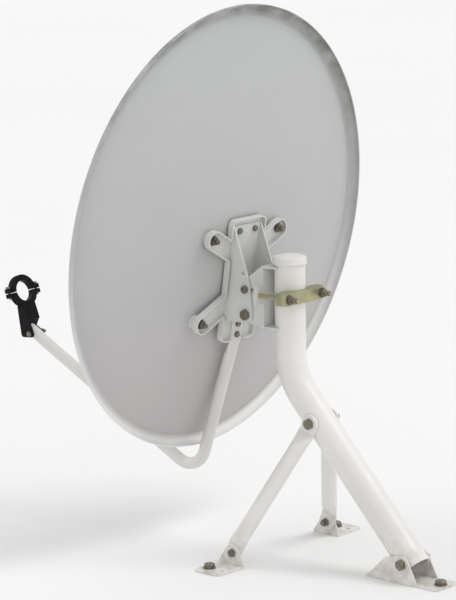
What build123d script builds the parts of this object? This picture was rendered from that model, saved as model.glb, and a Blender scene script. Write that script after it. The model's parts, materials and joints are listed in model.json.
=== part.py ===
"""Offset satellite dish on a bent mast with a three-legged ground stand.

Frame: +Z up, millimetres. The vertical part of the mast is the Z axis, the ground is Z = 0,
the dish faces -Y and the mast leans back to its foot on the +Y side. X = 0 is the plane of symmetry.
"""
import os
from math import atan, atan2, cos, degrees, radians, sin, sqrt, tan

from build123d import *

# ------------------------------------------------------------------ driving dimensions

# Reflector: an offset cut of a paraboloid
RIM_WIDTH = 750.0            # outside width of the rolled rim, the nominal size
FOCAL_LENGTH = 490.0
CLEARING_HEIGHT = 40.0       # from the paraboloid's axis to the lower rim
RIM_TILT = 9.0               # rim plane leaned back from vertical, degrees
RIM_CENTRE_Y = -175.0
RIM_CENTRE_Z = 572.0
SHEET = 1.2                  # reflector sheet, measured along the paraboloid's axis
RIM_SHEET = 1.8              # the rolled edge is doubled and thicker
ROLL_RADIUS = 11.5           # mid-line radius of the rolled edge
ROLL_LIP = 3.0               # straight lip behind the roll
ROLL_START_ANGLE = 20.0      # the sheet reaches the rim at about this slope

# Mast: one bent tube
MAST_OD = 54.0
MAST_WALL = 3.0
MAST_TOP_Z = 534.0
MAST_CORNER_Z = 322.0        # where the two straight axes meet
MAST_LEAN = 43.0             # lower leg from vertical, degrees
MAST_BEND_RADIUS = 120.0
FOOT_PIVOT_Z = 34.0
MAST_END_OVERHANG = 13.0     # tube beyond the foot pivot
CAP_RADIUS = 30.0
CAP_CROWN = 5.0              # height of the dome above the cap's rim

# Struts
STRUT_OD = 28.0
STRUT_WALL = 1.5
STRUT_TAB = 4.0              # thickness of the flattened ends
STRUT_TAB_WIDTH = 36.0
STRUT_TAB_LENGTH = 17.0      # from the pivot to where the tube leaves the tab's plane
STRUT_FLARE = 28.0           # length of the transition to round tube
STRUT_PIVOT_ALONG_LEG = 98.0   # from the mast corner down the leg
STRUT_FOOT_X = 128.0         # inner face of the foot bracket's ear
STRUT_FOOT_Y = -28.0
STRUT_FOOT_Z = 24.0

# Feet
PLATE = 3.0                  # all the bent sheet brackets
STRUT_FOOT_PLATE_X = 68.0
STRUT_FOOT_PLATE_Y = (-62.0, -3.0)
STRUT_ANCHOR_X = 172.0
STRUT_ANCHOR_Y = (-45.0, -17.0)
MAST_FOOT_Y = (188.0, 345.0)
MAST_ANCHOR_Y = (203.0, 330.0)
ANCHOR_HOLE_R = 5.5
GAP = 0.4                    # between faces that slide past each other

# Azimuth head: mast bracket, clamp jaw and its bolts
SADDLE_R = MAST_OD / 2 + 0.3
WEB_Y = -36.0                # front face of the bracket's web
HEAD_Z = (408.0, 518.0)
CLAMP_Z = 468.0
CLAMP_BOLT_X = 43.5
WING_X = 56.0
JAW_Y = (13.0, 36.0)
JAW_HALF_HEIGHT = 11.0
INNER_CHEEK_X = 33.0         # outside face of the mast bracket's cheeks
OUTER_CHEEK_X = INNER_CHEEK_X + 1.0 + PLATE

# Elevation hinge
PIVOT_Y = -72.0
PIVOT_Z = 428.0
LOCK_RADIUS = 45.0
ELEVATION_SWING = 20.0       # each way from rest, degrees

# Back frame, in the rim plane's coordinates (X, up, forward)
FRAME_FACE = -70.0           # front face of the pressed frame, behind the rim plane
FRAME_LIP = 8.0
LIP_THICKNESS = 2.5
TOP_BOLT = (85.0, 3.0)
LOW_BOLT = (95.0, -149.0)
EAR_WIDTH = 36.0
HEAD_LIFT = 1.7              # bolt heads clear the curved sheet by this much
COLUMN_WIDTH = 88.0
COLUMN_UP = (-192.0, 34.0)

# Feed arm and LNB holder
ARM_OD = 22.0
ARM_WALL = 1.5
ARM_SLOPE = 27.0             # forward run above horizontal, degrees
ARM_LINE_POINT = (-495.0, 242.0)
ARM_BEND_RADIUS = 45.0
ARM_END_Y = -657.0
ARM_TAB_UP = (-194.0, -152.0)
ARM_TONGUE_HALF = 14.0
TONGUE = 4.0                 # thickness of the arm's pressed end
LNB_BORE_R = 20.0
LNB_RING_R = 30.0
LNB_RING_LENGTH = 12.0
RING_SPLIT = 1.6             # gap between the two halves of the ring
RING_LUG = 11.0              # screw lugs stand out this far from the ring
RING_LUG_HEIGHT = 9.0        # each side of the split
STEM_WIDTH = 31.0
STEM_TOP = 18.0              # the stem's depth where it meets the ring
STEM_HEEL = 17.5             # lower front corner, below the tube's centre line at its end
STEM_TOE = 28.0              # lower back corner, back along the tube from its end
LOW_CHEEK = 5.0              # the fork's -X cheek stops this far above the tube's centre line
TUBE_ROOM = 3.5              # the fork is open this far past the tube's end

# Fasteners: shank radius, across flats, head height, nut height
M10 = (5.0, 17.0, 6.5, 8.0)
M8 = (4.0, 13.0, 5.3, 6.5)
M6 = (3.0, 10.0, 4.0, 5.0)
RUNNING = 0.05               # radial clearance of a pivot bolt in its hole
LOOSE = 0.1                  # radial clearance of a clamping bolt in its hole
THROUGH = 120.0              # longer than any stack of plates to be drilled

# ------------------------------------------------------------------ derived geometry

aperture_radius = RIM_WIDTH / 2
axis_offset = CLEARING_HEIGHT + aperture_radius
offset_angle = degrees(atan(axis_offset / (2 * FOCAL_LENGTH)))

rim_plane = Plane(
    origin=(0, RIM_CENTRE_Y, RIM_CENTRE_Z),
    x_dir=(1, 0, 0),
    z_dir=(0, -cos(radians(RIM_TILT)), sin(radians(RIM_TILT))),
)
beam = Vector(0, sin(radians(offset_angle)), cos(radians(offset_angle)))
across = Vector(0, cos(radians(offset_angle)), -sin(radians(offset_angle)))
rim_rise = (axis_offset**2 + aperture_radius**2) / (4 * FOCAL_LENGTH)
vertex = across * -axis_offset + beam * -rim_rise
focus = rim_plane.from_local_coords(vertex + beam * FOCAL_LENGTH)

leg_dir = Vector(0, sin(radians(MAST_LEAN)), -cos(radians(MAST_LEAN)))
mast_corner = Vector(0, 0, MAST_CORNER_Z)
foot_pivot = mast_corner + leg_dir * ((MAST_CORNER_Z - FOOT_PIVOT_Z) / cos(radians(MAST_LEAN)))
strut_pivot = mast_corner + leg_dir * STRUT_PIVOT_ALONG_LEG


def on_rim(up, forward, x=0.0):
    """A point given in the rim plane's coordinates."""
    return rim_plane.from_local_coords(Vector(x, up, forward))


def in_rim(shape):
    """Move a shape drawn in the rim plane's coordinates to its place."""
    return rim_plane.location * shape


def side_plane(x):
    """A drawing plane normal to X: its local x is world Y and its local y is world Z."""
    return Plane(origin=(x, 0, 0), x_dir=(0, 1, 0), z_dir=(1, 0, 0))


def rod(start, end, radius):
    """A round bar from one point to another."""
    start = Vector(start)
    end = Vector(end)
    along = end - start
    plane = Plane(origin=start, z_dir=along.normalized())
    return plane.location * post(radius, along.length)


def post(radius, height):
    """A cylinder standing on the local XY plane."""
    return Cylinder(radius, height, align=(Align.CENTER, Align.CENTER, Align.MIN))


def hexagon(at, direction, flats, height):
    """A hexagonal prism with its base at a point, chamfered round its outer face."""
    plane = Plane(origin=at, z_dir=Vector(direction).normalized())
    body = extrude(plane * RegularPolygon(flats / sqrt(3), 6), height)
    cone = plane.location * Cone(
        flats * 0.5 + height, flats * 0.475, height, align=(Align.CENTER, Align.CENTER, Align.MIN)
    )
    return body & cone


def washer(at, direction, shank, outer, thickness):
    """A flat washer with its base at a point."""
    plane = Plane(origin=at, z_dir=Vector(direction).normalized())
    ring = Circle(outer) - Circle(shank)
    return extrude(plane * ring, thickness)


def hex_bolt(head_at, direction, length, size):
    """A hex bolt: the head sits behind head_at and the shank runs along direction."""
    shank, flats, head, _ = size
    head_at = Vector(head_at)
    direction = Vector(direction).normalized()
    bolt = rod(head_at, head_at + direction * length, shank)
    bolt += hexagon(head_at, direction * -1, flats, head)
    return bolt


def hex_nut(at, direction, size):
    """A nut standing on a face, with its hole a hair larger than the bolt."""
    shank, flats, _, height = size
    at = Vector(at)
    direction = Vector(direction).normalized()
    nut = hexagon(at, direction, flats, height)
    return nut - rod(at - direction, at + direction * (height + 1), shank)


def carriage_bolt(head_at, direction, length, size):
    """A cup-head bolt: the dome sits behind head_at."""
    shank, flats, head, _ = size
    head_at = Vector(head_at)
    direction = Vector(direction).normalized()
    dome_radius = flats * 0.75
    sphere_radius = (dome_radius**2 + head**2) / (2 * head)
    base = Plane(origin=head_at, z_dir=direction * -1)
    dome = Pos(0, 0, head - sphere_radius) * Sphere(sphere_radius)
    dome &= post(dome_radius + 1, head + 1)
    return base.location * dome + rod(head_at, head_at + direction * length, shank)


def tube(path, outer, wall):
    """A round tube along a path that starts at its first point."""
    start = Plane(origin=path @ 0, z_dir=path % 0)
    return sweep(start * Circle(outer), path=path) - sweep(start * Circle(outer - wall), path=path)


def mirrored(shape):
    """The same shape on the other side of the plane of symmetry."""
    return mirror(shape, about=Plane.YZ)


# ------------------------------------------------------------------ reflector


def parabola_height(s):
    return s * s / (4 * FOCAL_LENGTH)


def parabola_edge(s_start, s_end, drop):
    """One exact parabola arc, drop below the reflecting surface."""
    middle = ((s_start + s_end) / 2, s_start * s_end / (4 * FOCAL_LENGTH) - drop)
    start = (s_start, parabola_height(s_start) - drop)
    end = (s_end, parabola_height(s_end) - drop)
    return Bezier(start, middle, end)


def paraboloid_slab(top_drop, bottom_drop, radius):
    """The part of a paraboloid layer inside the aperture cylinder, in rim coordinates."""
    meridian = Plane(origin=vertex, x_dir=across, z_dir=(1, 0, 0))
    s_start = CLEARING_HEIGHT - 20
    s_end = axis_offset + radius + 20
    top = parabola_edge(s_start, s_end, top_drop)
    bottom = parabola_edge(s_start, s_end, bottom_drop)
    outline = top + Line(top @ 1, bottom @ 1) + bottom + Line(bottom @ 0, top @ 0)
    sector = 160
    layer = revolve(meridian * make_face(outline), axis=Axis(vertex, beam), revolution_arc=sector)
    layer = layer.rotate(Axis(vertex, beam), -sector / 2)
    barrel = Plane(origin=vertex + across * axis_offset, z_dir=beam)
    depth = parabola_height(s_end)
    cutter = barrel.location * Pos(0, 0, depth / 2) * Cylinder(radius, depth + 400)
    return layer & cutter


def rolled_edge(edge_radius):
    """The stiffening roll round the rim, swept along the ellipse where the sheet ends."""
    edge_drop = (aperture_radius**2 - edge_radius**2) / (4 * FOCAL_LENGTH)
    centre = beam * -edge_drop
    path_plane = Plane(origin=centre, x_dir=(1, 0, 0), z_dir=(0, 0, 1))
    path = path_plane * Ellipse(edge_radius, edge_radius / cos(radians(offset_angle))).edge()
    slope = radians(ROLL_START_ANGLE)
    half = RIM_SHEET / 2
    overlap = 5.0
    lead = Vector(cos(slope), sin(slope))
    normal = Vector(-sin(slope), cos(slope))
    middle = normal * -SHEET / 2
    start = middle - lead * overlap
    bend_from = middle + lead * 1.5
    roll_centre = bend_from - normal * ROLL_RADIUS
    outer = ROLL_RADIUS + half
    inner = ROLL_RADIUS - half
    lip_end = roll_centre.Y - ROLL_LIP
    arc_start = 90 + ROLL_START_ANGLE
    edges = [
        Line(start + normal * half, bend_from + normal * half),
        CenterArc(roll_centre, outer, arc_start, -arc_start),
        Line((roll_centre.X + outer, roll_centre.Y), (roll_centre.X + outer, lip_end)),
        Line((roll_centre.X + outer, lip_end), (roll_centre.X + inner, lip_end)),
        Line((roll_centre.X + inner, lip_end), (roll_centre.X + inner, roll_centre.Y)),
        CenterArc(roll_centre, inner, 0, arc_start),
        Line(bend_from - normal * half, start - normal * half),
        Line(start - normal * half, start + normal * half),
    ]
    section_plane = Plane(origin=centre + Vector(edge_radius, 0, 0), x_dir=(1, 0, 0), z_dir=(0, -1, 0))
    section = section_plane * make_face(edges)
    return sweep(section, path=path)


def make_reflector():
    # the roll stands this far outside the edge of the parabolic sheet
    slope = radians(ROLL_START_ANGLE)
    lead_run = 1.5 * cos(slope) + SHEET / 2 * sin(slope)
    roll_width = lead_run + ROLL_RADIUS * (1 + sin(slope)) + RIM_SHEET / 2
    edge_radius = aperture_radius - roll_width
    dish = paraboloid_slab(0, SHEET, edge_radius) + rolled_edge(edge_radius)
    for x, up in bolt_places():
        dish -= rod((x, up, -THROUGH), (x, up, 40), M8[0] + 0.2)
    return in_rim(dish)


def bolt_places():
    """Where the frame is bolted to the reflector, in rim coordinates."""
    return [(side * x, up) for x, up in (TOP_BOLT, LOW_BOLT) for side in (1, -1)]


# ------------------------------------------------------------------ back frame and tilt channel


def sheet_depth(x, up):
    """Forward coordinate of the reflector's front surface at a place on the rim plane."""
    # forward = t solves the paraboloid's equation along the rim plane's normal
    point = Vector(x, up, 0) - vertex
    b = beam.Z * 4 * FOCAL_LENGTH - 2 * point.dot(across) * across.Z
    a = across.Z**2
    c = x * x + point.dot(across) ** 2 - 4 * FOCAL_LENGTH * point.dot(beam)
    return (b - sqrt(b * b - 4 * a * c)) / (2 * a)


def frame_outline():
    column = Pos(0, sum(COLUMN_UP) / 2) * RectangleRounded(COLUMN_WIDTH, COLUMN_UP[1] - COLUMN_UP[0], 12)
    outline = column
    for x, up in bolt_places():
        inner = Vector(0, -45 if up > -70 else -100)
        outer = Vector(x, up)
        outline += SlotCenterToCenter((outer - inner).length, EAR_WIDTH, rotation=0).rotate(
            Axis.Z, degrees(atan2(outer.Y - inner.Y, outer.X - inner.X))
        ).moved(Location((inner + outer) * 0.5))
    return outline


def make_back_frame():
    outline = frame_outline()
    floor = extrude(Plane.XY.offset(FRAME_FACE - PLATE) * outline, PLATE)
    inside = offset(outline, amount=-LIP_THICKNESS)
    wall = extrude(Plane.XY.offset(FRAME_FACE - PLATE - FRAME_LIP) * (outline - inside), FRAME_LIP)
    frame = floor + wall
    for x, up in bolt_places():
        boss = Pos(x, up, FRAME_FACE) * post(13, 30)
        frame += boss
    frame -= paraboloid_slab(-80, SHEET, aperture_radius)
    for x, up in bolt_places():
        frame -= rod((x, up, -THROUGH), (x, up, 0), M8[0] + 0.2)
    for x, up in channel_bolt_places():
        frame -= rod((x, up, -THROUGH), (x, up, 0), M6[0] + LOOSE)
    for up in arm_bolt_places():
        frame -= rod((0, up, -THROUGH), (0, up, 0), M6[0] + LOOSE)
    notch = Pos(0, COLUMN_UP[0], FRAME_FACE - PLATE - 10) * Box(2 * ARM_TONGUE_HALF + 4, 12, 20)
    frame -= notch
    for up in (-120, -70, -20):
        window = Plane.XY.offset(FRAME_FACE - PLATE - 1) * Pos(0, up) * SlotOverall(34, 20)
        frame -= extrude(window, PLATE + 2)
    return in_rim(frame)


def channel_bolt_places():
    """Bolts that hold the tilt channel's web to the frame, in rim coordinates."""
    return [(side * 20.0, up) for up in (-142.0, 12.0) for side in (1, -1)]


def arm_bolt_places():
    return (ARM_TAB_UP[0] + 12.0, ARM_TAB_UP[1] - 10.0)


def lock_point():
    return Vector(0, PIVOT_Y, PIVOT_Z + LOCK_RADIUS)


def make_tilt_channel():
    web_back = FRAME_FACE - 2 * PLATE
    up_low = -150.0
    up_high = 22.0
    web = Box(2 * OUTER_CHEEK_X, up_high - up_low, PLATE)
    web = Pos(0, (up_low + up_high) / 2, web_back + PLATE / 2) * web
    web = in_rim(web)
    nose = on_rim(up_high, web_back)
    tail = on_rim(up_low, web_back)
    front_low = on_rim(up_low, web_back + PLATE)
    front_high = on_rim(up_high, web_back + PLATE)
    pivot = Vector(PIVOT_Y, PIVOT_Z)
    lock = Vector(lock_point().Y, lock_point().Z)
    top = Vector(PIVOT_Y - 5, PIVOT_Z + 72)
    channel = web
    for x in (OUTER_CHEEK_X - PLATE, -OUTER_CHEEK_X):
        hull = make_hull(
            (
                Pos(pivot.X, pivot.Y) * Circle(15)
                + Pos(lock.X, lock.Y) * Circle(11.5)
                + Pos(top.X, top.Y) * Circle(9)
            ).edges()
            + Polyline(
                (front_low.Y, front_low.Z), (front_high.Y, front_high.Z), (nose.Y, nose.Z), (tail.Y, tail.Z),
                close=True,
            ).edges()
        )
        cheek = hull
        cheek -= Pos(pivot.X, pivot.Y) * Circle(M10[0] + RUNNING)
        cheek -= Pos(lock.X, lock.Y) * Circle(M8[0] + LOOSE)
        cheek -= Pos(top.X, top.Y) * Circle(4)
        channel += extrude(side_plane(x) * cheek, PLATE)
    for x, up in channel_bolt_places():
        channel -= in_rim(rod((x, up, -THROUGH), (x, up, 0), M6[0] + LOOSE))
    return channel


# ------------------------------------------------------------------ azimuth head


def make_mast_bracket():
    z_low, z_high = HEAD_Z
    height = z_high - z_low
    web = Pos(0, WEB_Y + PLATE / 2, (z_low + z_high) / 2) * Box(2 * INNER_CHEEK_X, PLATE, height)
    wings = Pos(0, WEB_Y + PLATE / 2, CLAMP_Z) * Box(2 * WING_X, PLATE, 2 * JAW_HALF_HEIGHT + 10)
    bracket = web + fillet(wings.edges().filter_by(Axis.Y), 8)
    # saddles that seat on the front of the mast
    for z in (z_low, z_high - PLATE):
        tab = Pos(0, (WEB_Y - 4) / 2, z + PLATE / 2) * Box(2 * INNER_CHEEK_X, -WEB_Y - 4, PLATE)
        bracket += tab
    bracket -= rod((0, 0, z_low - 5), (0, 0, z_high + 5), SADDLE_R)
    pivot = Vector(PIVOT_Y, PIVOT_Z)
    slot_low = LOCK_RADIUS - M8[0] - 0.4
    slot_high = LOCK_RADIUS + M8[0] + 0.4
    for x in (INNER_CHEEK_X - PLATE, -INNER_CHEEK_X):
        back_edge = Polyline(
            (WEB_Y, z_low), (WEB_Y + PLATE, z_low), (WEB_Y + PLATE, z_high), (WEB_Y, z_high), close=True
        )
        tips = Pos(pivot.X, pivot.Y) * Circle(15)
        for angle in (90 - ELEVATION_SWING, 90 + ELEVATION_SWING):
            tip = pivot + Vector(LOCK_RADIUS, 0).rotate(Axis.Z, angle)
            tips += Pos(tip.X, tip.Y) * Circle(9)
        cheek = make_hull(tips.edges() + back_edge.edges())
        cheek -= Pos(pivot.X, pivot.Y) * Circle(M10[0] + RUNNING)
        slot = Circle(slot_high) - Circle(slot_low)
        wedge_reach = 2 * LOCK_RADIUS
        spread = radians(ELEVATION_SWING + 0.5)
        wedge = make_face(
            Polyline(
                (0, 0),
                (-wedge_reach * tan(spread), wedge_reach),
                (wedge_reach * tan(spread), wedge_reach),
                close=True,
            )
        )
        slot = slot & wedge
        for angle in (90 - ELEVATION_SWING, 90 + ELEVATION_SWING):
            end = Vector(LOCK_RADIUS, 0).rotate(Axis.Z, angle)
            slot += Pos(end.X, end.Y) * Circle(M8[0] + 0.4)
        cheek -= Pos(pivot.X, pivot.Y) * slot
        bracket += extrude(side_plane(x) * cheek, PLATE)
    for side in (1, -1):
        x = side * CLAMP_BOLT_X
        bracket -= rod((x, -60, CLAMP_Z), (x, 0, CLAMP_Z), M8[0] + LOOSE)
    return bracket


def make_clamp_jaw():
    y_front, y_back = JAW_Y
    half = JAW_HALF_HEIGHT
    centre_y = (y_front + y_back) / 2
    block = Pos(0, centre_y, CLAMP_Z) * Box(2 * WING_X - 4, y_back - y_front, 2 * half)
    block = fillet(block.edges().filter_by(Axis.Z).group_by(Axis.Y)[-1], 10)
    pocket = Pos(0, centre_y - PLATE, CLAMP_Z) * Box(
        2 * WING_X - 4 - 2 * PLATE, y_back - y_front, 2 * half - 2 * PLATE
    )
    jaw = block - pocket - rod((0, 0, CLAMP_Z - 40), (0, 0, CLAMP_Z + 40), SADDLE_R)
    for side in (1, -1):
        x = side * CLAMP_BOLT_X
        jaw -= rod((x, 0, CLAMP_Z), (x, 60, CLAMP_Z), M8[0] + LOOSE)
    return jaw


def make_clamp_bolts():
    bolts = []
    for side in (1, -1):
        bolts.append(carriage_bolt((side * CLAMP_BOLT_X, WEB_Y, CLAMP_Z), (0, 1, 0), -WEB_Y + 56, M8))
    return bolts


def make_clamp_nuts():
    nuts = []
    for side in (1, -1):
        x = side * CLAMP_BOLT_X
        seat = washer((x, JAW_Y[1], CLAMP_Z), (0, 1, 0), M8[0], 9, 1.6)
        nuts.append(seat + hex_nut((x, JAW_Y[1] + 1.6, CLAMP_Z), (0, 1, 0), M8))
    return nuts


# ------------------------------------------------------------------ mast


def make_mast():
    end = foot_pivot + leg_dir * MAST_END_OVERHANG
    path = FilletPolyline((0, 0, MAST_TOP_Z), mast_corner, end, radius=MAST_BEND_RADIUS)
    mast = tube(path, MAST_OD / 2, MAST_WALL)
    for pivot in (strut_pivot, foot_pivot):
        mast -= rod(pivot - Vector(50, 0, 0), pivot + Vector(50, 0, 0), M10[0] + RUNNING)
    return mast


def make_mast_cap():
    skirt_from = HEAD_Z[1] + 3
    cap = Pos(0, 0, skirt_from) * post(CAP_RADIUS, MAST_TOP_Z + 1 - skirt_from)
    dome_radius = (CAP_RADIUS**2 + CAP_CROWN**2) / (2 * CAP_CROWN)
    dome = Pos(0, 0, MAST_TOP_Z + 1 + CAP_CROWN - dome_radius) * Sphere(dome_radius)
    dome &= Pos(0, 0, MAST_TOP_Z + 1) * post(CAP_RADIUS, 20)
    cap += dome
    cap -= Pos(0, 0, skirt_from) * post(MAST_OD / 2, MAST_TOP_Z - skirt_from)
    return cap


# ------------------------------------------------------------------ struts and feet


def make_strut():
    """The left strut: a tube whose ends are pressed flat and set parallel to the sides."""
    tab_x_top = MAST_OD / 2 + GAP + STRUT_TAB / 2
    tab_x_foot = STRUT_FOOT_X - GAP - STRUT_TAB / 2
    top = Vector(tab_x_top, strut_pivot.Y, strut_pivot.Z)
    foot = Vector(tab_x_foot, STRUT_FOOT_Y, STRUT_FOOT_Z)
    run = Vector(0, foot.Y - top.Y, foot.Z - top.Z).normalized()
    top_bend = top + run * STRUT_TAB_LENGTH
    foot_bend = foot - run * STRUT_TAB_LENGTH
    axis = (foot_bend - top_bend).normalized()

    def flat_section(at, normal, width, depth):
        plane = Plane(origin=at, x_dir=(1, 0, 0), z_dir=normal)
        return plane * Ellipse(depth, width)

    def round_section(at, radius):
        return Plane(origin=at, x_dir=axis.cross(Vector(0, 1, 0)), z_dir=axis) * Circle(radius)

    def flare(bend, direction, radius, width, depth):
        neck = bend + direction * STRUT_FLARE
        return loft([flat_section(bend, run, width, depth), round_section(neck, radius)])

    outer = STRUT_OD / 2
    inner = outer - STRUT_WALL
    neck_top = top_bend + axis * STRUT_FLARE
    neck_foot = foot_bend - axis * STRUT_FLARE
    strut = rod(neck_top, neck_foot, outer)
    bore = rod(neck_top, neck_foot, inner)
    half_width = STRUT_TAB_WIDTH / 2
    half_tab = STRUT_TAB / 2
    for pivot, bend, direction in ((top, top_bend, axis), (foot, foot_bend, axis * -1)):
        strut += flare(bend, direction, outer, half_width, half_tab)
        bore += flare(bend, direction, inner, half_width - STRUT_WALL, half_tab - STRUT_WALL * 0.9)
        toward = (bend - pivot).normalized()
        strut += tab_plate(pivot, toward, half_width, half_tab)
    strut -= bore
    reach = Vector(20, 0, 0)
    strut -= rod(top - reach, top + reach, M10[0] + RUNNING)
    strut -= rod(foot - reach, foot + reach, M8[0] + RUNNING)
    return strut


def tab_plate(pivot, toward, half_width, half_tab):
    """A flat end, round about its bolt, that runs from the pivot to the flare."""
    plane = Plane(origin=pivot - Vector(half_tab, 0, 0), x_dir=toward, z_dir=(1, 0, 0))
    plate = Circle(half_width - 2) + Pos(STRUT_TAB_LENGTH / 2, 0) * Rectangle(
        STRUT_TAB_LENGTH, 2 * half_width - 4
    )
    return extrude(plane * plate, 2 * half_tab)


def make_strut_foot():
    """The left foot bracket: an upright ear and a sole with two anchor holes."""
    y_front, y_back = STRUT_FOOT_PLATE_Y
    sole_centre = Vector(STRUT_FOOT_X + STRUT_FOOT_PLATE_X / 2, (y_front + y_back) / 2, PLATE / 2)
    sole = Pos(sole_centre) * Box(STRUT_FOOT_PLATE_X, y_back - y_front, PLATE)
    sole = fillet(sole.edges().filter_by(Axis.Z).group_by(Axis.X)[-1], 10)
    profile = make_hull(
        (Pos(STRUT_FOOT_Y, STRUT_FOOT_Z) * Circle(16)).edges()
        + Polyline((y_front, 0), (y_back, 0), (y_back, PLATE), (y_front, PLATE), close=True).edges()
    )
    profile -= Pos(STRUT_FOOT_Y, STRUT_FOOT_Z) * Circle(M8[0] + RUNNING)
    foot = sole + extrude(side_plane(STRUT_FOOT_X) * profile, PLATE)
    for y in STRUT_ANCHOR_Y:
        foot -= rod((STRUT_ANCHOR_X, y, -5), (STRUT_ANCHOR_X, y, 10), ANCHOR_HOLE_R)
    return foot


def make_strut_foot_bolt():
    face = STRUT_FOOT_X + PLATE
    inner = STRUT_FOOT_X - GAP - STRUT_TAB - 0.2
    at = Vector(face, STRUT_FOOT_Y, STRUT_FOOT_Z)
    return hex_bolt(at + Vector(0.2, 0, 0), (-1, 0, 0), face - inner + 12, M8)


def make_strut_foot_nut():
    inner = STRUT_FOOT_X - GAP - STRUT_TAB - 0.2
    return hex_nut((inner, STRUT_FOOT_Y, STRUT_FOOT_Z), (-1, 0, 0), M8)


def anchor_bolt(x, y):
    """A ground anchor's head, washer and the shank down to the sole."""
    top = PLATE + 2.0
    bolt = hex_bolt((x, y, top), (0, 0, -1), top, M10)
    return bolt + washer((x, y, PLATE), (0, 0, 1), M10[0] - 1, 11, 2.0)


def make_mast_foot():
    y_front, y_back = MAST_FOOT_Y
    half = MAST_OD / 2 + GAP + PLATE
    sole = Pos(0, (y_front + y_back) / 2, PLATE / 2) * Box(2 * half, y_back - y_front, PLATE)
    sole = fillet(sole.edges().filter_by(Axis.Z), 6)
    foot = sole
    profile = make_hull(
        (
            Pos(foot_pivot.Y, foot_pivot.Z) * Circle(15)
            + Pos(foot_pivot.Y - 32, foot_pivot.Z) * Circle(8)
        ).edges()
        + Polyline(
            (y_front + 6, 0), (foot_pivot.Y + 32, 0), (foot_pivot.Y + 32, PLATE), (y_front + 6, PLATE),
            close=True,
        ).edges()
    )
    profile -= Pos(foot_pivot.Y, foot_pivot.Z) * Circle(M10[0] + RUNNING)
    for x in (half - PLATE, -half):
        foot += extrude(side_plane(x) * profile, PLATE)
    for y in MAST_ANCHOR_Y:
        foot -= rod((0, y, -5), (0, y, 10), ANCHOR_HOLE_R)
    return foot


def cross_bolt(at, half_span, size, tail):
    """A hex bolt along X through a point, with its head on the +X side."""
    at = Vector(at)
    return hex_bolt(at + Vector(half_span, 0, 0), (-1, 0, 0), 2 * half_span + tail, size)


def cross_nut(at, half_span, size):
    return hex_nut(Vector(at) - Vector(half_span, 0, 0), (-1, 0, 0), size)


# ------------------------------------------------------------------ feed arm and LNB holder


def arm_points():
    """Corners of the tube's centre line, from below the frame to the LNB end."""
    upper = on_rim(-226, -66)
    lower = on_rim(-417, -31)
    slope = tan(radians(ARM_SLOPE))
    down = lower - upper
    base_z = ARM_LINE_POINT[1] + slope * ARM_LINE_POINT[0]
    share = (upper.Z - base_z + slope * upper.Y) / (-down.Z - slope * down.Y)
    corner = upper + down * share
    end = Vector(0, ARM_END_Y, base_z - slope * ARM_END_Y)
    return upper, corner, end


def make_feed_arm():
    upper, corner, end = arm_points()
    path = FilletPolyline(upper, corner, end, radius=ARM_BEND_RADIUS)
    arm = tube(path, ARM_OD / 2, ARM_WALL)
    run = (corner - upper).normalized()
    # the upper end is pressed into a flat tongue that lies on the frame
    tongue_mid = FRAME_FACE - PLATE - TONGUE / 2
    flat_at = on_rim(ARM_TAB_UP[0], tongue_mid)
    up_dir = (on_rim(1, 0) - on_rim(0, 0)).normalized()
    flat = Plane(origin=flat_at, x_dir=(1, 0, 0), z_dir=up_dir)
    neck = Plane(origin=upper, x_dir=(1, 0, 0), z_dir=run * -1)
    outer = loft([neck * Circle(ARM_OD / 2), flat * Ellipse(ARM_TONGUE_HALF + 1, TONGUE / 2)])
    inner = loft([neck * Circle(ARM_OD / 2 - ARM_WALL), flat * Ellipse(ARM_TONGUE_HALF - 0.5, 0.6)])
    tongue_length = ARM_TAB_UP[1] - ARM_TAB_UP[0]
    tongue = Box(2 * ARM_TONGUE_HALF, tongue_length, TONGUE)
    tongue = Pos(0, ARM_TAB_UP[0] + tongue_length / 2, tongue_mid) * tongue
    tongue = fillet(tongue.edges().filter_by(Axis.Z).group_by(Axis.Y)[-1], 10)
    arm += outer - inner
    arm += in_rim(tongue)
    for up in arm_bolt_places():
        arm -= in_rim(rod((0, up, -THROUGH), (0, up, 0), M6[0] + LOOSE))
    screw = holder_screw_point()
    arm -= rod(screw - Vector(30, 0, 0), screw + Vector(30, 0, 0), M6[0] + LOOSE)
    return arm


def arm_frame():
    """Plane at the arm's end: local z runs out along the tube, local x is world X."""
    _, corner, end = arm_points()
    return Plane(origin=end, x_dir=(1, 0, 0), z_dir=(end - corner).normalized())


def holder_screw_point():
    return arm_frame().from_local_coords(Vector(0, 0, -16))


def make_arm_plug():
    frame = arm_frame()
    plug = Pos(0, 0, -8) * post(ARM_OD / 2 - ARM_WALL, 8)
    plug += post(ARM_OD / 2, 2.5)
    return frame.location * plug


def ring_frame():
    """Plane at the focus: local z runs towards the middle of the dish, local y points down."""
    return Plane(origin=focus, x_dir=(1, 0, 0), z_dir=(on_rim(0, 0) - focus).normalized())


def ring_half(side):
    """Half of the clamp ring with its two screw lugs; side is +1 below the split."""
    length = LNB_RING_LENGTH
    body = Cylinder(LNB_RING_R, length) + Box(2 * (LNB_RING_R + RING_LUG), 2 * RING_LUG_HEIGHT, length * 0.7)
    body = body - Cylinder(LNB_BORE_R, length + 2)
    keep = Pos(0, side * (60 + RING_SPLIT / 2), 0) * Box(200, 120, 100)
    body = body & keep
    for x in (LNB_RING_R + 5, -LNB_RING_R - 5):
        body -= rod((x, -20, 0), (x, 20, 0), 2.6)
    return body


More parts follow.
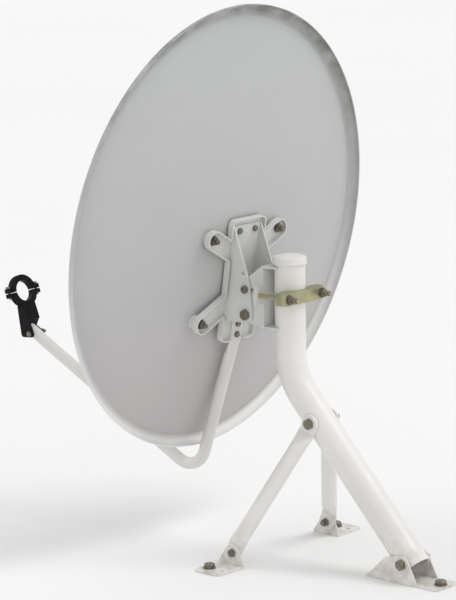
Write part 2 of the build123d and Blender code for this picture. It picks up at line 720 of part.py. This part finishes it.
def make_lnb_holder():
    ring = ring_frame()
    frame = arm_frame()
    holder = ring.location * ring_half(1)
    # the stem runs from the ring's underside down over the tube's end
    stem_points = [
        ring.from_local_coords(Vector(0, LNB_RING_R - 4, STEM_TOP / 2)),
        ring.from_local_coords(Vector(0, LNB_RING_R - 4, -STEM_TOP / 2)),
        frame.from_local_coords(Vector(0, -STEM_HEEL, 0)),
        frame.from_local_coords(Vector(0, -1, -STEM_TOE)),
    ]
    stem = make_face(Polyline(*[(p.Y, p.Z) for p in stem_points], close=True))
    stem = fillet(stem.vertices().sort_by(Axis.Y)[:2], 6)
    holder += extrude(side_plane(-STEM_WIDTH / 2) * stem, STEM_WIDTH)
    # around the tube it is a fork: a round seat, open below the tube and above it
    reach = 60
    holder -= frame.location * Pos(0, 0, TUBE_ROOM - reach / 2) * Cylinder(ARM_OD / 2 + 0.02, reach)
    holder -= frame.location * Pos(0, -reach / 2, TUBE_ROOM - reach / 2) * Box(ARM_OD + 0.04, reach, reach)
    holder -= frame.location * Pos(0, reach / 2, -reach / 2) * Box(ARM_OD + 0.04, reach, reach)
    holder -= frame.location * Pos(-reach / 2 - ARM_OD / 2, LOW_CHEEK + reach / 2, -reach / 2) * Box(
        reach, reach, reach
    )
    holder -= ring.location * Cylinder(LNB_BORE_R, LNB_RING_LENGTH + 2)
    screw = holder_screw_point()
    holder -= rod(screw - Vector(30, 0, 0), screw + Vector(30, 0, 0), M6[0] + LOOSE)
    return holder


def make_lnb_cap():
    return ring_frame().location * ring_half(-1)


def make_ring_screws():
    """Two cap screws that close the ring."""
    screws = []
    for x in (LNB_RING_R + 5, -LNB_RING_R - 5):
        seat = -RING_LUG_HEIGHT
        screw = rod((x, 12, 0), (x, seat, 0), 2.5)
        screw += rod((x, seat, 0), (x, seat - 4, 0), 4.5) - rod((x, seat - 2, 0), (x, seat - 5, 0), 2)
        screws.append(ring_frame().location * screw)
    return screws


# ------------------------------------------------------------------ fasteners on the frame


def make_reflector_bolts():
    bolts = []
    for x, up in bolt_places():
        front = sheet_depth(x, up) + HEAD_LIFT
        back = FRAME_FACE - PLATE - 14
        bolt = carriage_bolt((x, up, front), (0, 0, -1), front - back, M8)
        bolts.append(in_rim(bolt))
    return bolts


def make_reflector_nuts():
    nuts = []
    for x, up in bolt_places():
        seat = FRAME_FACE - PLATE
        nut = washer((x, up, seat), (0, 0, -1), M8[0], 9, 1.6)
        nut += hex_nut((x, up, seat - 1.6), (0, 0, -1), M8)
        nuts.append(in_rim(nut))
    return nuts


def make_channel_bolts():
    """Short bolts through the frame and the channel's web, heads to the rear."""
    bolts = []
    seat = FRAME_FACE - 2 * PLATE
    for x, up in channel_bolt_places():
        bolts.append(in_rim(hex_bolt((x, up, seat), (0, 0, 1), 2 * PLATE + 0.5, M6)))
    return bolts


def make_arm_bolts():
    bolts = []
    seat = FRAME_FACE - PLATE - TONGUE
    for up in arm_bolt_places():
        bolts.append(in_rim(hex_bolt((0, up, seat), (0, 0, 1), PLATE + TONGUE + 0.5, M6)))
    return bolts


# ------------------------------------------------------------------ assembly

pivot_point = Vector(0, PIVOT_Y, PIVOT_Z)
head_span = OUTER_CHEEK_X + 0.2
mast_span = MAST_OD / 2 + GAP + STRUT_TAB + 0.3
foot_span = MAST_OD / 2 + GAP + PLATE + 0.2
holder_span = STEM_WIDTH / 2 + 0.2

left_strut = make_strut()
left_foot = make_strut_foot()
left_bolt = make_strut_foot_bolt()
left_nut = make_strut_foot_nut()
left_anchor = anchor_bolt(STRUT_ANCHOR_X, STRUT_ANCHOR_Y[0])

nodes = {
    "mast_tube": make_mast(),
    "mast_cap": make_mast_cap(),
    "strut_pivot_bolt": cross_bolt(strut_pivot, mast_span, M10, 14),
    "strut_pivot_nut": cross_nut(strut_pivot, mast_span, M10),
    "mast_bracket": make_mast_bracket(),
    "clamp_jaw": make_clamp_jaw(),
    "clamp_bolts": make_clamp_bolts(),
    "clamp_nuts": make_clamp_nuts(),
    "elevation_pivot_bolt": cross_bolt(pivot_point, head_span, M10, 12),
    "elevation_pivot_nut": cross_nut(pivot_point, head_span, M10),
    "reflector": make_reflector(),
    "back_frame": make_back_frame(),
    "reflector_bolts": make_reflector_bolts(),
    "reflector_nuts": make_reflector_nuts(),
    "tilt_channel": make_tilt_channel(),
    "tilt_channel_bolts": make_channel_bolts(),
    "elevation_lock_bolt": cross_bolt(lock_point(), OUTER_CHEEK_X, M8, 12),
    "elevation_lock_nut": cross_nut(lock_point(), OUTER_CHEEK_X, M8),
    "feed_arm": make_feed_arm(),
    "feed_arm_bolts": make_arm_bolts(),
    "feed_arm_plug": make_arm_plug(),
    "lnb_holder": make_lnb_holder(),
    "lnb_clamp_cap": make_lnb_cap(),
    "lnb_clamp_screws": make_ring_screws(),
    "lnb_holder_bolt": cross_bolt(holder_screw_point(), holder_span - 0.2, M6, 10),
    "lnb_holder_nut": cross_nut(holder_screw_point(), holder_span - 0.2, M6),
    "left_strut": left_strut,
    "right_strut": mirrored(left_strut),
    "left_foot_bracket": left_foot,
    "right_foot_bracket": mirrored(left_foot),
    "left_foot_bolt": left_bolt,
    "right_foot_bolt": mirrored(left_bolt),
    "left_foot_nut": left_nut,
    "right_foot_nut": mirrored(left_nut),
    "left_anchor_bolt": left_anchor,
    "right_anchor_bolt": mirrored(left_anchor),
    "mast_foot": make_mast_foot(),
    "mast_foot_bolt": cross_bolt(foot_pivot, foot_span, M10, 13),
    "mast_foot_nut": cross_nut(foot_pivot, foot_span, M10),
    "mast_anchor_bolt": anchor_bolt(0, MAST_ANCHOR_Y[1]),
}

os.makedirs("parts", exist_ok=True)
for name, shape in nodes.items():
    if isinstance(shape, list):
        solids = [solid for item in shape for solid in item.solids()]
        shape = Compound(children=solids)
    shape.label = name
    export_step(shape, f"parts/{name}.step")
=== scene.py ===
"""Looks for the satellite dish on its ground stand: finishes, small hardware details, studio and camera."""

import json
from math import cos, pi, radians, sin, tau

import bmesh
import bpy
from mathutils import Matrix, Vector


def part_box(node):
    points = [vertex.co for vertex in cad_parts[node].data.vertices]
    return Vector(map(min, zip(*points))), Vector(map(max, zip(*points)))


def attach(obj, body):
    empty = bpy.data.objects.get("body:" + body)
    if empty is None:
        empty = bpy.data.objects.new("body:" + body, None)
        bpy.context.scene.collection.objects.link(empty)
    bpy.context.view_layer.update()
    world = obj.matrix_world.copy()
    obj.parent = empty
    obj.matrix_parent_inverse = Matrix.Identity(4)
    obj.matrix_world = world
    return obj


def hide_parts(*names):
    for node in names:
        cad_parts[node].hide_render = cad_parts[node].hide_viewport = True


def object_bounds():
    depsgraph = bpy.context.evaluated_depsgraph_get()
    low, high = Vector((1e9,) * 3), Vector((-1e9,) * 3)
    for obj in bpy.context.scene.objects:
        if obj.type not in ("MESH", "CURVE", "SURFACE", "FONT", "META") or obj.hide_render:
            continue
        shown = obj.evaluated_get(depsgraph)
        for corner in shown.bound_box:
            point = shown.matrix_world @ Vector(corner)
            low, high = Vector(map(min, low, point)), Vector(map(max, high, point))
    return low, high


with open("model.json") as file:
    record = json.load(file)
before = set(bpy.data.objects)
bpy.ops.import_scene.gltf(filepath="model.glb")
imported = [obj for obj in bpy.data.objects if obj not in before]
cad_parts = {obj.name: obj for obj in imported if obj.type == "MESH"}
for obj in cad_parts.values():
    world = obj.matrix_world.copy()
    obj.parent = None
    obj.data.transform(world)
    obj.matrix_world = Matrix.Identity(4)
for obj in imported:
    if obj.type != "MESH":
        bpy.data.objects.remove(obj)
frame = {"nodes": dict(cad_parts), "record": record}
cad_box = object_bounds()

# ------------------------------------------------------------------ driving values, in metres and radians

RIM_TILT = radians(9)        # the dish's rim leans this far back from upright
SAME_POINT = 1e-6            # points nearer than this are one

# Finishes. An edge is the pair of noise values between which one shade gives way to the next.
PATCH_EDGE = (0.35, 0.65)
ROUGH_EDGE = (0.3, 0.7)
ROUGH_SPREAD = 0.06          # roughness varies this much each way
BUMP_DISTANCE = 0.001
SPECK_SCALE = 160.0
SPECK_EDGE = (0.60, 0.72)
SPECK_AMOUNT = 0.6
STAIN_SCALE = 45.0
STAIN_EDGE = (0.40, 0.62)
STAIN_TOP = 0.10             # dirt from the ground fades out at this height
STAIN_AMOUNT = 0.55

# Dish paint. Heights are parts of the dish's own height.
DISH_BOTTOM = (0.520, 0.495, 0.495)
DISH_TOP = (0.515, 0.535, 0.528)
DISH_PATCH = (0.475, 0.475, 0.48)
DISH_PATCH_AMOUNT = 0.35
DISH_PATCH_SCALE = 5.0
RIM_SHADING_BAND = (0.945, 0.975)    # where the rim's painted shade and light start and are full, as parts of the half width
RIM_MIDDLE = (0.50, 0.505, 0.50)
# painted light along the rim's lower edge
RIM_PAINTED_LIGHT = (0.86, 0.86, 0.85)
RIM_LIGHT_HEIGHTS = (0.05, 0.50)              # the painted light on the lower edge fades out between these
# painted shade along the rim's upper edge
RIM_PAINTED_SHADE = (0.20, 0.195, 0.18)
RIM_SHADE_HEIGHTS = (0.55, 0.90)                   # the painted shade sets in between these
RIM_SHADE_AMOUNT = 0.90
RIM_SHADE_LEAST = 0.15           # left of the painted shade where the noise thins it most
RIM_SHADE_SCALE = 22.0

RUST = (0.16, 0.09, 0.045)
DUST = (0.42, 0.36, 0.28)

# Threads
M10_RADIUS = 0.005
M8_RADIUS = 0.004
THREAD_PITCH = 0.0014
THREAD_DEPTH = 0.00055
THREAD_ROOT = 0.0001         # the rib's foot lies this far inside the shank
THREAD_FLANK = 0.42          # half the width of the rib's foot, as a part of the pitch
THREAD_STEPS = 14            # points to a turn

# Mast cap
CAP_FIT = 0.0003             # gap round the tube
CAP_LIFT = 0.0004            # gap above the tube
CAP_BEVEL = 0.0012           # at the bead's lower edge
CAP_BEAD = 0.004             # height of the bead round the foot of the skirt
CAP_BEAD_SLOPE = 0.001       # height over which the bead runs in to the skirt
CAP_STEP = 0.0008            # the bead stands out this far from the skirt
CAP_SHOULDER_DROP = 0.001    # the shoulder starts this far below the tube's top
CAP_SHOULDER_WIDTH = 0.004
CAP_SHOULDER_HEIGHT = 0.0028
CAP_STEPS = 8

# Clamp ring on the end of the arm
RING_WALL = 0.010
RING_BEAD = 0.0014
RING_GAP_ANGLE = 0.06
RING_STEPS = 40
RIB_ANGLES = (50, 70, 90, 110, 130)            # degrees round the ring
RIB_SPOTS = (-1, -0.85, 0, 0.85, 1)            # along each rib, from its middle
RIB_RADII = (0.0004, 0.0011, 0.0012, 0.0011, 0.0004)

# Studio
FLOOR_REACH = 60.0
FLOOR_GAP = 0.0003           # the floor lies this far below the feet
SKY_STRENGTH = 0.77
KEY_FROM = (0.55, 0.75, 0.20)                  # to the camera's right, upwards, towards the camera
KEY_STRENGTH = 0.90
KEY_SOFTNESS = radians(28)
FRONT_FROM = Vector((0.35, -0.80, 0.55))       # in the frame's own directions
FRONT_STRENGTH = 0.30
FRONT_SOFTNESS = radians(30)

# Camera
VIEW_AZIMUTH = radians(132.2)
VIEW_ELEVATION = radians(11.1)
VIEW_ROLL = radians(-1.0)
VIEW_DISTANCE = 5.0
VIEW_TARGET = Vector((0, -0.1465, 0.4397))
VIEW_SENSOR = 36             # millimetres, as is the lens
VIEW_LENS = 168.5

# ------------------------------------------------------------------ materials


class Paint:
    """A new material, with short ways to add the nodes it needs."""

    def __init__(self, name):
        self.material = bpy.data.materials.new(name)
        self.material.use_nodes = True
        self.nodes = self.material.node_tree.nodes
        self.links = self.material.node_tree.links
        self.shader = self.nodes["Principled BSDF"]
        self.place = self.nodes.new("ShaderNodeTexCoord").outputs["Object"]

    def noise(self, scale, detail=4.0, roughness=0.55):
        node = self.nodes.new("ShaderNodeTexNoise")
        node.inputs["Scale"].default_value = scale
        node.inputs["Detail"].default_value = detail
        node.inputs["Roughness"].default_value = roughness
        self.links.new(self.place, node.inputs["Vector"])
        return node.outputs["Fac"]

    def remap(self, value, low, high, to_low, to_high):
        node = self.nodes.new("ShaderNodeMapRange")
        node.inputs["From Min"].default_value = low
        node.inputs["From Max"].default_value = high
        node.inputs["To Min"].default_value = to_low
        node.inputs["To Max"].default_value = to_high
        self.links.new(value, node.inputs["Value"])
        return node.outputs["Result"]

    def multiply(self, first, second):
        node = self.nodes.new("ShaderNodeMath")
        node.operation = "MULTIPLY"
        self.links.new(first, node.inputs[0])
        self.links.new(second, node.inputs[1])
        return node.outputs["Value"]

    def mix(self, amount, first, second):
        """Blend two colours; each is an RGB triple or another node's output."""
        node = self.nodes.new("ShaderNodeMix")
        node.data_type = "RGBA"
        self.links.new(amount, node.inputs["Factor"])
        for socket, colour in ((node.inputs[6], first), (node.inputs[7], second)):
            if isinstance(colour, tuple):
                socket.default_value = (*colour, 1)
            else:
                self.links.new(colour, socket)
        return node.outputs[2]

    def height(self):
        split = self.nodes.new("ShaderNodeSeparateXYZ")
        self.links.new(self.place, split.inputs["Vector"])
        return split.outputs["Z"]

    def surface(self, colour, roughness, mottle, grain, bump, metallic=0.0, shine=0.5):
        """Join up the colour, roughness that varies at the scale mottle, and bumps at the scale grain."""
        self.links.new(colour, self.shader.inputs["Base Color"])
        smoothest = roughness - ROUGH_SPREAD
        roughest = roughness + ROUGH_SPREAD
        uneven = self.remap(self.noise(mottle), *ROUGH_EDGE, smoothest, roughest)
        self.links.new(uneven, self.shader.inputs["Roughness"])
        self.shader.inputs["Metallic"].default_value = metallic
        self.shader.inputs["Specular IOR Level"].default_value = shine
        bumps = self.nodes.new("ShaderNodeBump")
        bumps.inputs["Strength"].default_value = bump
        bumps.inputs["Distance"].default_value = BUMP_DISTANCE
        self.links.new(self.noise(grain, detail=3.0), bumps.inputs["Height"])
        self.links.new(bumps.outputs["Normal"], self.shader.inputs["Normal"])
        return self.material


def finish_material(
    name, base, shade, roughness, patch=7.0, grain=700.0, bump=0.02, speckle=None, stain=None, **gloss
):
    """A coat with soft patches of a second shade and, if asked, specks and dirt near the ground."""
    paint = Paint(name)
    patches = paint.remap(paint.noise(patch), *PATCH_EDGE, 0, 1)
    colour = paint.mix(patches, base, shade)
    if speckle:
        fine = paint.noise(SPECK_SCALE, detail=6.0, roughness=0.7)
        specks = paint.remap(fine, *SPECK_EDGE, 0, SPECK_AMOUNT)
        colour = paint.mix(specks, colour, speckle)
    if stain:
        low = paint.remap(paint.height(), 0, STAIN_TOP, STAIN_AMOUNT, 0)
        blotches = paint.remap(paint.noise(STAIN_SCALE, detail=6.0, roughness=0.65), *STAIN_EDGE, 0, 1)
        colour = paint.mix(paint.multiply(low, blotches), colour, stain)
    return paint.surface(colour, roughness, mottle=3 * patch, grain=grain, bump=bump, **gloss)


def rim_shading_amount(paint):
    """0 over most of the dish, rising to 1 across the band just inside its outer edge, where the painted
    shade and light go.
    """
    low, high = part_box("reflector")
    middle = (low + high) / 2
    half_height = (high.z - low.z) / 2
    flat = paint.nodes.new("ShaderNodeMapping")
    flat.vector_type = "POINT"
    flat.inputs["Location"].default_value = (0, 0, -middle.z / half_height)
    flat.inputs["Scale"].default_value = (1 / high.x, 0, 1 / half_height)
    paint.links.new(paint.place, flat.inputs["Vector"])
    reach = paint.nodes.new("ShaderNodeVectorMath")
    reach.operation = "LENGTH"
    paint.links.new(flat.outputs["Vector"], reach.inputs[0])
    return paint.remap(reach.outputs["Value"], *RIM_SHADING_BAND, 0, 1)


def painted_rim_shading(paint, height):
    """Painted shade along the upper edge, broken up by noise, and painted light along the lower edge."""
    shade_breakup = paint.remap(paint.noise(RIM_SHADE_SCALE, detail=5.0, roughness=0.6), *PATCH_EDGE, RIM_SHADE_LEAST, 1)
    # painted shade: darkest along the upper edge
    high = paint.remap(height, *RIM_SHADE_HEIGHTS, 0, RIM_SHADE_AMOUNT)
    # painted light: palest along the lower edge
    low = paint.remap(height, *RIM_LIGHT_HEIGHTS, 1, 0)
    rim_with_painted_light = paint.mix(low, RIM_MIDDLE, RIM_PAINTED_LIGHT)
    return paint.mix(paint.multiply(high, shade_breakup), rim_with_painted_light, RIM_PAINTED_SHADE)


def dish_material(name):
    """Powder coat on the pressed sheet: cooler to the top, warmer to the bottom, with painted shade along
    the rim's upper edge and painted light along its lower edge.
    """
    paint = Paint(name)
    low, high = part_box("reflector")
    height = paint.remap(paint.height(), low.z, high.z, 0, 1)
    colour = paint.mix(height, DISH_BOTTOM, DISH_TOP)
    patches = paint.remap(paint.noise(DISH_PATCH_SCALE), *PATCH_EDGE, 0, DISH_PATCH_AMOUNT)
    colour = paint.mix(patches, colour, DISH_PATCH)
    # painted shade and painted light across the rim band
    colour = paint.mix(rim_shading_amount(paint), colour, painted_rim_shading(paint, height))
    return paint.surface(colour, roughness=0.52, mottle=14.0, grain=600.0, bump=0.025)


looks = {
    "reflector_coat": dish_material("dish_coat"),
    "arm_coat": finish_material(
        "arm_coat", base=(0.76, 0.75, 0.725), shade=(0.70, 0.69, 0.67), roughness=0.42
    ),
    "frame_coat": finish_material(
        "frame_coat", base=(0.70, 0.70, 0.68), shade=(0.63, 0.63, 0.62), roughness=0.45,
        speckle=(0.50, 0.49, 0.46),
    ),
    "stand_coat": finish_material(
        "stand_coat", base=(0.84, 0.83, 0.80), shade=(0.78, 0.77, 0.735), roughness=0.40, stain=DUST
    ),
    "zinc_yellow": finish_material(
        "yellow_zinc", base=(0.46, 0.42, 0.24), shade=(0.34, 0.36, 0.24), roughness=0.36, metallic=0.75,
        patch=60.0, speckle=(0.25, 0.20, 0.10),
    ),
    "zinc_fastener": finish_material(
        "dull_zinc", base=(0.26, 0.24, 0.20), shade=(0.17, 0.15, 0.12), roughness=0.42, metallic=0.75,
        patch=90.0, speckle=RUST,
    ),
    "white_plastic": finish_material(
        "white_plastic", base=(0.80, 0.79, 0.76), shade=(0.76, 0.75, 0.72), roughness=0.38
    ),
    "black_plastic": finish_material(
        "black_plastic", base=(0.003, 0.003, 0.004), shade=(0.006, 0.006, 0.007), roughness=0.5, shine=0.12,
        patch=30.0, grain=1500.0, bump=0.08,
    ),
}

for part in frame["record"]["subparts"]:
    mesh = frame["nodes"][part["node"]].data
    mesh.materials.clear()
    mesh.materials.append(looks[part["material_slot"]])

# ------------------------------------------------------------------ helpers for geometry


def add_mesh(name, verts, faces, slot_name, body):
    mesh = bpy.data.meshes.new(name)
    mesh.from_pydata([tuple(v) for v in verts], [], faces)
    mesh.validate()
    shape = bmesh.new()
    shape.from_mesh(mesh)
    bmesh.ops.recalc_face_normals(shape, faces=shape.faces)
    shape.to_mesh(mesh)
    shape.free()
    for polygon in mesh.polygons:
        polygon.use_smooth = True
    mesh.materials.append(looks[slot_name])
    piece = bpy.data.objects.new(name, mesh)
    bpy.context.collection.objects.link(piece)
    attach(piece, body)
    return piece


def cross_directions(axis):
    """Two directions square to the axis and to each other."""
    axis = axis.normalized()
    nearly_upright = 0.9
    helper = Vector((0, 0, 1)) if abs(axis.z) < nearly_upright else Vector((1, 0, 0))
    first = axis.cross(helper).normalized()
    return first, axis.cross(first)


def islands(node, turn):
    """Lowest and highest corners of each separate solid in a node, turned about X, in order of place."""
    shape = bmesh.new()
    shape.from_mesh(frame["nodes"][node].data)
    bmesh.ops.remove_doubles(shape, verts=shape.verts, dist=SAME_POINT)
    spin = Matrix.Rotation(turn, 3, "X")
    todo = set(shape.verts)
    boxes = []
    while todo:
        stack = [todo.pop()]
        points = []
        while stack:
            vert = stack.pop()
            points.append(spin @ vert.co)
            for edge in vert.link_edges:
                other = edge.other_vert(vert)
                if other in todo:
                    todo.remove(other)
                    stack.append(other)
        low = Vector([min(p[i] for p in points) for i in range(3)])
        high = Vector([max(p[i] for p in points) for i in range(3)])
        boxes.append((low, high))
    shape.free()
    return sorted(boxes, key=lambda pair: (round(pair[0].x, 4), round(pair[0].z, 4)))


def lathe(name, profile, slot_name, body, segments=72):
    """A closed body of revolution about the mast's axis; the profile runs from axis to axis."""
    verts = []
    rings = []
    for radius, height in profile:
        if radius < SAME_POINT:
            rings.append([len(verts)])
            verts.append(Vector((0, 0, height)))
            continue
        rings.append(list(range(len(verts), len(verts) + segments)))
        for i in range(segments):
            angle = tau * i / segments
            verts.append(Vector((radius * cos(angle), radius * sin(angle), height)))
    faces = []
    for lower, upper in zip(rings, rings[1:]):
        for i in range(segments):
            j = i + 1
            corners = [lower[i % len(lower)], lower[j % len(lower)]]
            corners += [upper[j % len(upper)], upper[i % len(upper)]]
            faces.append(list(dict.fromkeys(corners)))
    return add_mesh(name, verts, faces, slot_name, body)


def add_tube(verts, faces, points, radii, segments=12):
    """A closed tube swept through the points, with its own radius at each."""
    base = len(verts)
    count = len(points)
    for i, point in enumerate(points):
        along = points[min(i + 1, count - 1)] - points[max(i - 1, 0)]
        first, second = cross_directions(along)
        for k in range(segments):
            angle = tau * k / segments
            verts.append(point + (first * cos(angle) + second * sin(angle)) * radii[i])
    for i in range(count - 1):
        for k in range(segments):
            a = base + i * segments + k
            b = base + i * segments + (k + 1) % segments
            faces.append((a, b, b + segments, a + segments))
    faces.append(list(range(base, base + segments)))
    faces.append(list(range(base + (count - 1) * segments, base + count * segments)))


# ------------------------------------------------------------------ threads on the exposed bolt ends


def add_thread(verts, faces, start, end, radius):
    """One helical ridge wound on a shank from start to end: a three-sided rib with closed ends."""
    axis = end - start
    length = axis.length
    if length < 2 * THREAD_PITCH:
        return
    along = axis.normalized()
    first, second = cross_directions(along)
    rib = ((-THREAD_FLANK, -THREAD_ROOT), (0, THREAD_DEPTH), (THREAD_FLANK, -THREAD_ROOT))
    turns = (length - THREAD_PITCH) / THREAD_PITCH
    steps = int(turns * THREAD_STEPS)
    base = len(verts)
    for i in range(steps + 1):
        angle = tau * i / THREAD_STEPS
        outward = first * cos(angle) + second * sin(angle)
        middle = start + along * (THREAD_PITCH * (0.5 + i / THREAD_STEPS))
        for shift, reach in rib:
            verts.append(middle + along * (shift * THREAD_PITCH) + outward * (radius + reach))
    for i in range(steps):
        for k in range(3):
            a = base + 3 * i + k
            b = base + 3 * i + (k + 1) % 3
            faces.append((a, b, b + 3, a + 3))
    last = base + 3 * steps
    faces.append((base, base + 1, base + 2))
    faces.append((last + 2, last + 1, last))


def cross_thread(bolt, nut, radius):
    """Start, end and radius of the thread that stands out of its nut, for a bolt along X."""
    low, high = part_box(bolt)
    nut_low, nut_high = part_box(nut)
    y = (nut_low.y + nut_high.y) / 2
    z = (nut_low.z + nut_high.z) / 2
    if nut_low.x + nut_high.x > low.x + high.x:
        return Vector((nut_high.x, y, z)), Vector((high.x, y, z)), radius
    return Vector((nut_low.x, y, z)), Vector((low.x, y, z)), radius


def group_threads(bolt_node, nut_node, radius, turn):
    """The same for each bolt of a node; turned about X by turn, they run along +Y to their nuts."""
    back = Matrix.Rotation(-turn, 3, "X")
    found = []
    for (_, high), (nut_low, nut_high) in zip(islands(bolt_node, turn), islands(nut_node, turn)):
        x = (nut_low.x + nut_high.x) / 2
        z = (nut_low.z + nut_high.z) / 2
        start = Vector((x, nut_high.y, z))
        end = Vector((x, high.y, z))
        found.append((back @ start, back @ end, radius))
    return found


def make_threads():
    """The threads of each body are one piece."""
    threads = {
        "mast": [cross_thread("strut_pivot_bolt", "strut_pivot_nut", M10_RADIUS)],
        "azimuth_head": [
            cross_thread("elevation_pivot_bolt", "elevation_pivot_nut", M10_RADIUS),
            *group_threads("clamp_bolts", "clamp_nuts", M8_RADIUS, 0),
        ],
        "dish": [
            cross_thread("elevation_lock_bolt", "elevation_lock_nut", M8_RADIUS),
            *group_threads("reflector_bolts", "reflector_nuts", M8_RADIUS, RIM_TILT),
        ],
        "left_strut": [cross_thread("left_foot_bolt", "left_foot_nut", M8_RADIUS)],
        "right_strut": [cross_thread("right_foot_bolt", "right_foot_nut", M8_RADIUS)],
        "mast_foot": [cross_thread("mast_foot_bolt", "mast_foot_nut", M10_RADIUS)],
    }
    for body, ends in threads.items():
        verts, faces = [], []
        for start, end, radius in ends:
            add_thread(verts, faces, start, end, radius)
        if faces:
            add_mesh(f"threads_{body}", verts, faces, "zinc_fastener", body)


make_threads()

# ------------------------------------------------------------------ the mast's cap, with a soft shoulder


def make_cap():
    low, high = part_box("mast_cap")
    _, tube_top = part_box("mast_tube")
    outer = (high.x - low.x) / 2
    skirt = outer - CAP_STEP
    bore = tube_top.x + CAP_FIT
    ceiling = tube_top.z + CAP_LIFT
    shoulder = tube_top.z - CAP_SHOULDER_DROP
    profile = [(0, ceiling), (bore, ceiling), (bore, low.z)]
    profile += [(outer - CAP_BEVEL, low.z), (outer, low.z + CAP_BEVEL)]
    profile += [(outer, low.z + CAP_BEAD), (skirt, low.z + CAP_BEAD + CAP_BEAD_SLOPE)]
    for i in range(CAP_STEPS + 1):
        angle = pi / 2 * i / CAP_STEPS
        inward = CAP_SHOULDER_WIDTH * (1 - cos(angle))
        profile.append((skirt - inward, shoulder + CAP_SHOULDER_HEIGHT * sin(angle)))
    top_radius, top_height = profile[-1]
    rise = high.z - top_height
    for i in range(1, CAP_STEPS + 1):
        part = i / CAP_STEPS
        profile.append((top_radius * (1 - part), top_height + rise * (1 - (1 - part) ** 2)))
    cap = lathe("cap_soft", profile, "white_plastic", "mast")
    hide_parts("mast_cap")


make_cap()

# ------------------------------------------------------------------ moulded beads and grip ribs on the ring


def make_ring_trim():
    ring = next(m for m in frame["record"]["mounts"] if m["name"] == "lnb_neck_clamp")
    centre = Vector(ring["pos_m"])
    axis = Vector(ring["axis"]).normalized()
    half_length = ring["dims"]["length_mm"] / 2000
    outer = ring["dims"]["r_mm"] / 1000 + RING_WALL
    across = Vector((1, 0, 0))
    upright = across.cross(axis).normalized()
    for name, side in (("ring_trim_upper", 1), ("ring_trim_lower", -1)):
        verts, faces = [], []
        for end in (1, -1):
            middle = centre + axis * end * (half_length - RING_BEAD)
            points = []
            for i in range(RING_STEPS + 1):
                angle = RING_GAP_ANGLE + (pi - 2 * RING_GAP_ANGLE) * i / RING_STEPS
                points.append(middle + (across * cos(angle) + upright * side * sin(angle)) * outer)
            add_tube(verts, faces, points, [RING_BEAD] * len(points))
        if side > 0:
            reach = half_length - 2 * RING_BEAD
            for angle in map(radians, RIB_ANGLES):
                foot = centre + (across * cos(angle) + upright * sin(angle)) * outer
                add_tube(verts, faces, [foot + axis * reach * spot for spot in RIB_SPOTS], RIB_RADII)
        add_mesh(name, verts, faces, "black_plastic", "dish")


make_ring_trim()

# ------------------------------------------------------------------ floor, light and camera


def make_floor():
    mesh = bpy.data.meshes.new("floor")
    corners = [(-FLOOR_REACH, -FLOOR_REACH, 0), (FLOOR_REACH, -FLOOR_REACH, 0)]
    corners += [(FLOOR_REACH, FLOOR_REACH, 0), (-FLOOR_REACH, FLOOR_REACH, 0)]
    mesh.from_pydata(corners, [], [(0, 1, 2, 3)])
    floor = bpy.data.objects.new("floor", mesh)
    floor.location.z = cad_box[0][2] - FLOOR_GAP
    bpy.context.collection.objects.link(floor)
    white = finish_material(
        "floor_white", base=(0.90, 0.90, 0.90), shade=(0.89, 0.89, 0.89), roughness=0.8, patch=0.6,
        grain=40.0, bump=0.0,
    )
    mesh.materials.append(white)


def soft_sun(name, from_direction, strength, softness):
    """Even light from a far, broad source."""
    data = bpy.data.lights.new(name, "SUN")
    data.energy = strength
    data.angle = softness
    light = bpy.data.objects.new(name, data)
    light.rotation_euler = from_direction.to_track_quat("Z", "Y").to_euler()
    bpy.context.collection.objects.link(light)


def make_camera(right, up, toward):
    data = bpy.data.cameras.new("photo_view")
    data.sensor_width = VIEW_SENSOR
    data.lens = VIEW_LENS
    camera = bpy.data.objects.new("photo_view", data)
    camera.matrix_world = Matrix((right, up, toward)).transposed().to_4x4()
    camera.location = VIEW_TARGET + toward * VIEW_DISTANCE
    bpy.context.collection.objects.link(camera)
    bpy.context.scene.camera = camera


toward_camera = Vector(
    (
        sin(VIEW_AZIMUTH) * cos(VIEW_ELEVATION),
        -cos(VIEW_AZIMUTH) * cos(VIEW_ELEVATION),
        sin(VIEW_ELEVATION),
    )
)
level_right = Vector((cos(VIEW_AZIMUTH), sin(VIEW_AZIMUTH), 0))
level_up = toward_camera.cross(level_right)
screen_right = level_right * cos(VIEW_ROLL) + level_up * sin(VIEW_ROLL)
screen_up = level_up * cos(VIEW_ROLL) - level_right * sin(VIEW_ROLL)
key_from = level_right * KEY_FROM[0] + level_up * KEY_FROM[1] + toward_camera * KEY_FROM[2]

make_floor()
soft_sun("key", key_from, KEY_STRENGTH, KEY_SOFTNESS)
soft_sun("front", FRONT_FROM, FRONT_STRENGTH, FRONT_SOFTNESS)
make_camera(screen_right, screen_up, toward_camera)

world = bpy.data.worlds.new("studio")
world.use_nodes = True
sky = world.node_tree.nodes["Background"]
sky.inputs["Color"].default_value = (1.0, 1.0, 1.0, 1)
sky.inputs["Strength"].default_value = SKY_STRENGTH
bpy.context.scene.world = world
bpy.context.scene.view_settings.view_transform = "Standard"
